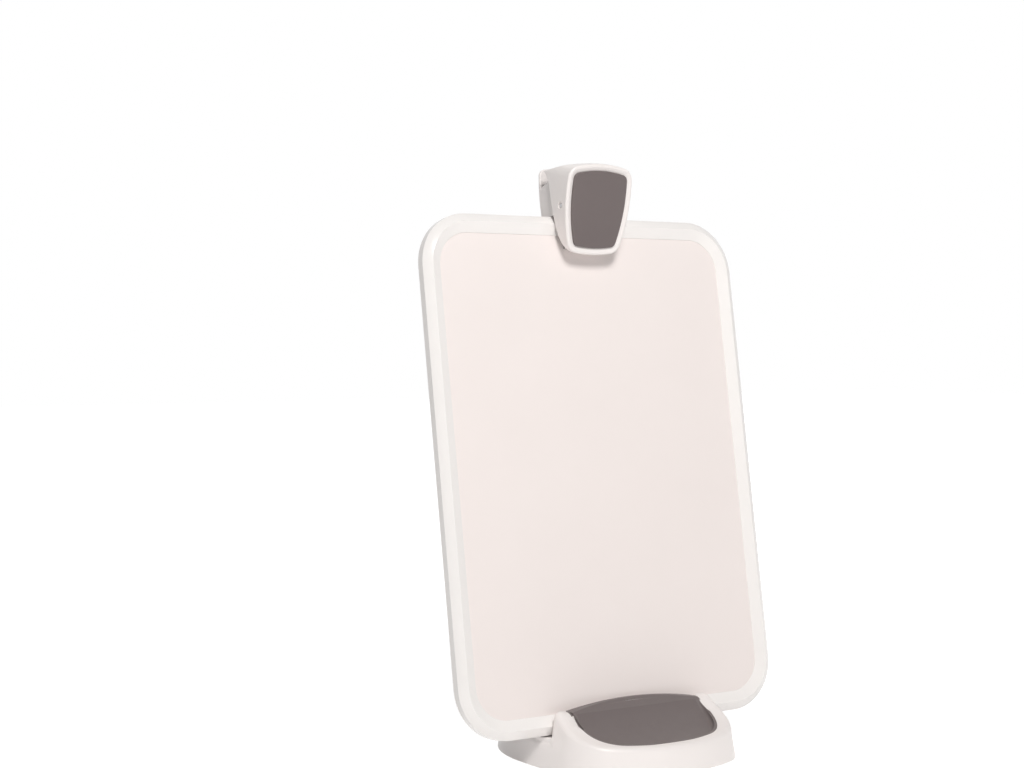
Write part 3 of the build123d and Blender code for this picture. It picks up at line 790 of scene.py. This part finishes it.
@dataclass(frozen=True)
class RingedFoot:
    """A round rubber foot with a ring groove and a bevelled tread."""

    sides: int = 72
    tread_bevel: float = 0.4 * MM
    bevel_segments: int = 3
    land: float = 1.5 * MM
    slope: float = 0.25 * MM
    groove_depth: float = 0.45 * MM
    groove_width: float = 1.3 * MM
    depth_slack: float = 0.01 * MM
    sharp_turn: float = 35.0

    def build(self, node: str, name: str) -> bpy.types.Object:
        """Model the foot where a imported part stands.

        Args:
            node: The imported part.
            name: The new piece's name.

        Returns:
            The new foot.
        """
        low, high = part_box(node)
        size = high - low
        deselect_all()
        bpy.ops.mesh.primitive_cylinder_add(
            vertices=self.sides, radius=size.x / 2, depth=size.z, location=(low + high) / 2
        )
        piece = bpy.context.object
        piece.name = piece.data.name = name
        bpy.ops.object.transform_apply(location=True, rotation=False, scale=False)
        tread = low.z + self.depth_slack
        with editing(piece) as mesh:
            pick_faces(mesh, lambda c, n: n.z < -SAME_WAY and c.z < tread)
            bpy.ops.mesh.bevel(offset=self.tread_bevel, segments=self.bevel_segments, affect="EDGES")
            pick_faces(mesh, lambda c, n: n.z < -SAME_WAY and c.z < tread)
            bpy.ops.mesh.inset(thickness=self.land)
            bpy.ops.mesh.inset(thickness=self.slope, depth=-self.groove_depth)
            bpy.ops.mesh.inset(thickness=self.groove_width)
            bpy.ops.mesh.inset(thickness=self.slope, depth=self.groove_depth)
        smooth_shading(piece, self.sharp_turn)
        return piece


@dataclass(frozen=True)
class RibbedPad:
    """A thin rubber pad whose working face is cut by grooves across its length."""

    pitch: float = 2.0 * MM
    groove_width: float = 0.8 * MM
    groove_depth: float = 0.35 * MM
    land: float = 0.15 * MM
    border: float = 2.0 * MM
    sharp_turn: float = 35.0

    def build(self, node: str, name: str, facing: Vector) -> bpy.types.Object:
        """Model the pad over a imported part.

        Args:
            node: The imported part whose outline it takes.
            name: The new piece's name.
            facing: The way that the grooved face looks.

        Returns:
            The new pad.
        """
        piece = copy_of_node(node, name)
        low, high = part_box(node)
        middle = (low.x + high.x) / 2
        count = int((high.x - low.x - 2 * self.border) / self.pitch)
        centres = [middle + (i - (count - 1) / 2) * self.pitch for i in range(count)]
        half_groove = self.groove_width / 2
        with editing(piece) as mesh:
            for centre in centres:
                for edge in (centre - half_groove, centre + half_groove):
                    bpy.ops.mesh.select_all(action="SELECT")
                    bpy.ops.mesh.bisect(plane_co=(edge, 0.0, 0.0), plane_no=(1.0, 0.0, 0.0))
            pick_faces(
                mesh,
                lambda c, n: n.dot(facing) > SAME_WAY
                and any(abs(c.x - x) < half_groove / 2 for x in centres),
            )
            bpy.ops.mesh.inset(thickness=self.land)
            bpy.ops.mesh.extrude_region_move(TRANSFORM_OT_translate={"value": facing * -self.groove_depth})
        smooth_shading(piece, self.sharp_turn)
        return piece


@dataclass(frozen=True)
class WoundSpring:
    """A torsion spring that winds up along its coil, from one leg's body to the other's."""

    leg_width: float = 2.2 * MM
    sharp_turn: float = 50.0

    def build(self, node: str, name: str, first: Body, second: Body) -> bpy.types.Object:
        """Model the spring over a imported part.

        Args:
            node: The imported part.
            name: The new piece's name.
            first: The body that holds the leg at low X.
            second: The body that holds the leg at high X.

        Returns:
            The new spring, already tied to both bodies.
        """
        piece = copy_of_node(node, name)
        smooth_shading(piece, self.sharp_turn)
        low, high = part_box(node)
        middle = (low + high) / 2
        start = Vector((low.x + self.leg_width, middle.y, middle.z))
        end = Vector((high.x - self.leg_width, middle.y, middle.z))
        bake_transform(piece, first.value, second.value, start, end)
        return piece


@dataclass
class Assembly:
    """A sub-assembly whose pieces ride on one body."""

    materials: dict[Slot, bpy.types.Material]
    body: Body

    def build(self) -> None:
        """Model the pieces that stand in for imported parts, where the sub-assembly has any."""

    def finish(self) -> None:
        """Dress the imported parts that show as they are."""

    def coat(self, piece: bpy.types.Object, slot: Slot) -> None:
        """Give a piece one finish alone."""
        piece.data.materials.clear()
        piece.data.materials.append(self.materials[slot])

    def dress(self, node: str, slot: Slot) -> None:
        """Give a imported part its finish."""
        self.coat(frame["nodes"][node], slot)
        LOG.info("dressed %s in %s", node, slot.value)

    def stand_in(self, piece: bpy.types.Object, node: str, slot: Slot) -> None:
        """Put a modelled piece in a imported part's place.

        Args:
            piece: The modelled piece, which may already be tied to its bodies.
            node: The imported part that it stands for.
            slot: Its finish.
        """
        self.coat(piece, slot)
        if body_of(piece) is None:
            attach(piece, self.body.value)
        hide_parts(node)
        LOG.info("built %s, %d faces, for %s", piece.name, len(piece.data.polygons), node)


@dataclass
class Base(Assembly):
    """The base: shell, bottom plate, screws, feet, tray liner and the pads of the slot."""

    body: Body = Body.BASE
    corners: tuple[str, ...] = ("front_left", "front_right", "rear_left", "rear_right")
    sides: tuple[str, ...] = ("left", "right")
    foot: RingedFoot = field(default_factory=RingedFoot)
    pad: RibbedPad = field(default_factory=RibbedPad)

    def build(self) -> None:
        """Model the feet and the slot's pads."""
        for corner in self.corners:
            node = f"rubber_foot_{corner}"
            self.stand_in(self.foot.build(node, f"ringed_foot_{corner}"), node, Slot.FOOT_RUBBER)
        for side in self.sides:
            node = f"slot_pad_{side}"
            self.stand_in(self.pad.build(node, f"ribbed_slot_pad_{side}", BOARD_UP), node, Slot.JAW_RUBBER)

    def finish(self) -> None:
        """Dress the shell, its bottom plate and screws, and the tray's liner."""
        self.dress("base_shell", Slot.SATIN_WHITE)
        self.dress("base_bottom_plate", Slot.SATIN_WHITE)
        self.dress("base_screws", Slot.STEEL)
        self.dress("tray_inlay", Slot.SOFT_GREY)


@dataclass
class Board(Assembly):
    """The board: its frame and the panel behind the sheet."""

    body: Body = Body.BOARD

    def finish(self) -> None:
        """Dress the frame and the panel."""
        self.dress("rim_frame", Slot.GLOSS_WHITE)
        self.dress("back_panel", Slot.PANEL_GREY)


@dataclass
class Clip(Assembly):
    """The clip's rear half: jaw, pin, spring and rubber."""

    body: Body = Body.CLIP
    pad: RibbedPad = field(default_factory=RibbedPad)
    spring: WoundSpring = field(default_factory=WoundSpring)

    def build(self) -> None:
        """Model the rear rubber and the spring, whose front leg turns with the lever."""
        node = "clip_rear_jaw_pad"
        self.stand_in(self.pad.build(node, "ribbed_rear_jaw_pad", BOARD_OUT), node, Slot.JAW_RUBBER)
        node = "clip_torsion_spring"
        self.stand_in(self.spring.build(node, "wound_spring", self.body, Body.LEVER), node, Slot.STEEL)

    def finish(self) -> None:
        """Dress the rear jaw and the pin."""
        self.dress("clip_rear_jaw", Slot.SATIN_WHITE)
        self.dress("clip_pivot_pin", Slot.STEEL)


@dataclass
class Lever(Assembly):
    """The clip's front lever with its grip pad and rubber."""

    body: Body = Body.LEVER
    grip: CrownedPad = field(default_factory=CrownedPad)
    pad: RibbedPad = field(default_factory=RibbedPad)

    def build(self) -> None:
        """Model the grip pad and the front rubber."""
        node = "clip_grip_pad"
        self.stand_in(self.grip.build(node, "crowned_grip_pad"), node, Slot.SOFT_GREY)
        node = "clip_front_jaw_pad"
        self.stand_in(self.pad.build(node, "ribbed_front_jaw_pad", -BOARD_OUT), node, Slot.JAW_RUBBER)

    def finish(self) -> None:
        """Dress the lever."""
        self.dress("clip_front_lever", Slot.SATIN_WHITE)


@dataclass(frozen=True)
class SoftBox:
    """A square lamp with a soft edge to its shadows."""

    name: str
    place: Place
    aim: Place
    size: float
    power: float
    tint: Colour = (1.0, 0.985, 0.965)

    def build(self) -> None:
        """Hang the lamp and turn it to its aim."""
        lamp = bpy.data.lights.new(self.name, "AREA")
        lamp.shape = "SQUARE"
        lamp.size = self.size
        lamp.energy = self.power
        lamp.color = self.tint
        holder = bpy.data.objects.new(self.name, lamp)
        holder.location = self.place
        holder.rotation_euler = (Vector(self.aim) - Vector(self.place)).to_track_quat("-Z", "Y").to_euler()
        bpy.context.scene.collection.objects.link(holder)


@dataclass(frozen=True)
class Studio:
    """A white floor in a white room, soft lamps and the camera."""

    floor_size: float = 12.0
    floor_colour: Colour = (0.9, 0.895, 0.89)
    floor_lift: float = 0.8
    floor_glow: float = 0.22
    shadow_reach: float = 0.3
    horizon_reach: float = 0.9
    room_light: float = 0.2
    room_tint: Colour = (1.0, 0.992, 0.985)
    lamps: tuple[SoftBox, ...] = (
        SoftBox("key_lamp", place=(-0.54, -1.49, 1.58), aim=(0.0, 0.0, 0.2), size=0.6, power=29.5),
        SoftBox("back_lamp", place=(0.4, 1.2, 1.9), aim=(0.0, 0.0, 0.15), size=1.0, power=2.5),
    )
    camera_place: Place = (-0.67564, -0.94423, 0.26045)
    camera_yaw: float = 32.65
    camera_pitch: float = 1.40
    focal_pixels: float = 1845.78
    image_pixels: float = 1024.0
    sensor_width_mm: float = 36.0

    def build_floor(self) -> None:
        """Lay the floor, which shows white to the camera and keeps the holder's shadow."""
        deselect_all()
        bpy.ops.mesh.primitive_plane_add(size=self.floor_size)
        floor = bpy.context.object
        floor.name = "studio_floor"
        material, graph, shader = start_material("studio_floor")
        away = graph.measure("LENGTH", graph.object_place())
        lift = graph.add("ShaderNodeMapRange", interpolation_type="SMOOTHSTEP")
        graph.put(lift, Value=away, From_Min=self.shadow_reach, From_Max=self.horizon_reach)
        graph.put(lift, To_Min=self.floor_lift, To_Max=1.0)
        extra = graph.math("SUBTRACT", lift.outputs[0], self.floor_glow)
        shown = graph.math("MULTIPLY", graph.seen_directly(), extra)
        glow = graph.math("ADD", shown, self.floor_glow)
        graph.put(shader, Base_Color=self.floor_colour, Roughness=0.9, Specular_IOR_Level=0.0)
        graph.put(shader, Emission_Color=WHITE, Emission_Strength=glow)
        floor.data.materials.append(material)

    def build_room(self) -> None:
        """Light the room evenly; what the camera, gloss and glass see of it is white."""
        world = bpy.data.worlds.new("studio_room")
        world.use_nodes = True
        bpy.context.scene.world = world
        graph = ShaderGraph(world.node_tree)
        seen = graph.seen_directly()
        strength = graph.spread(seen, self.room_light, 1.0)
        colour = graph.mix(seen, self.room_tint, WHITE)
        graph.put(world.node_tree.nodes["Background"], Color=colour, Strength=strength)

    def build_camera(self) -> None:
        """Set the camera where the photograph was taken from."""
        data = bpy.data.cameras.new("photo_camera")
        data.sensor_width = self.sensor_width_mm
        data.lens = self.focal_pixels / self.image_pixels * self.sensor_width_mm
        camera = bpy.data.objects.new("photo_camera", data)
        camera.location = self.camera_place
        camera.rotation_euler = (math.radians(90 - self.camera_pitch), 0.0, -math.radians(self.camera_yaw))
        bpy.context.scene.collection.objects.link(camera)
        bpy.context.scene.camera = camera

    def build(self) -> None:
        """Set up the whole studio."""
        bpy.context.scene.view_settings.view_transform = "Standard"
        self.build_camera()
        self.build_floor()
        self.build_room()
        for lamp in self.lamps:
            lamp.build()


def main() -> None:
    """Build the studio, then each sub-assembly."""
    logging.basicConfig(level=logging.INFO, format="%(message)s")
    Studio().build()
    groups = EffectGroups.build()
    materials = {slot: finish.build(groups) for slot, finish in FINISHES.items()}
    for kind in (Base, Board, Clip, Lever):
        assembly = kind(materials)
        assembly.build()
        assembly.finish()


if __name__ == "__main__":
    main()
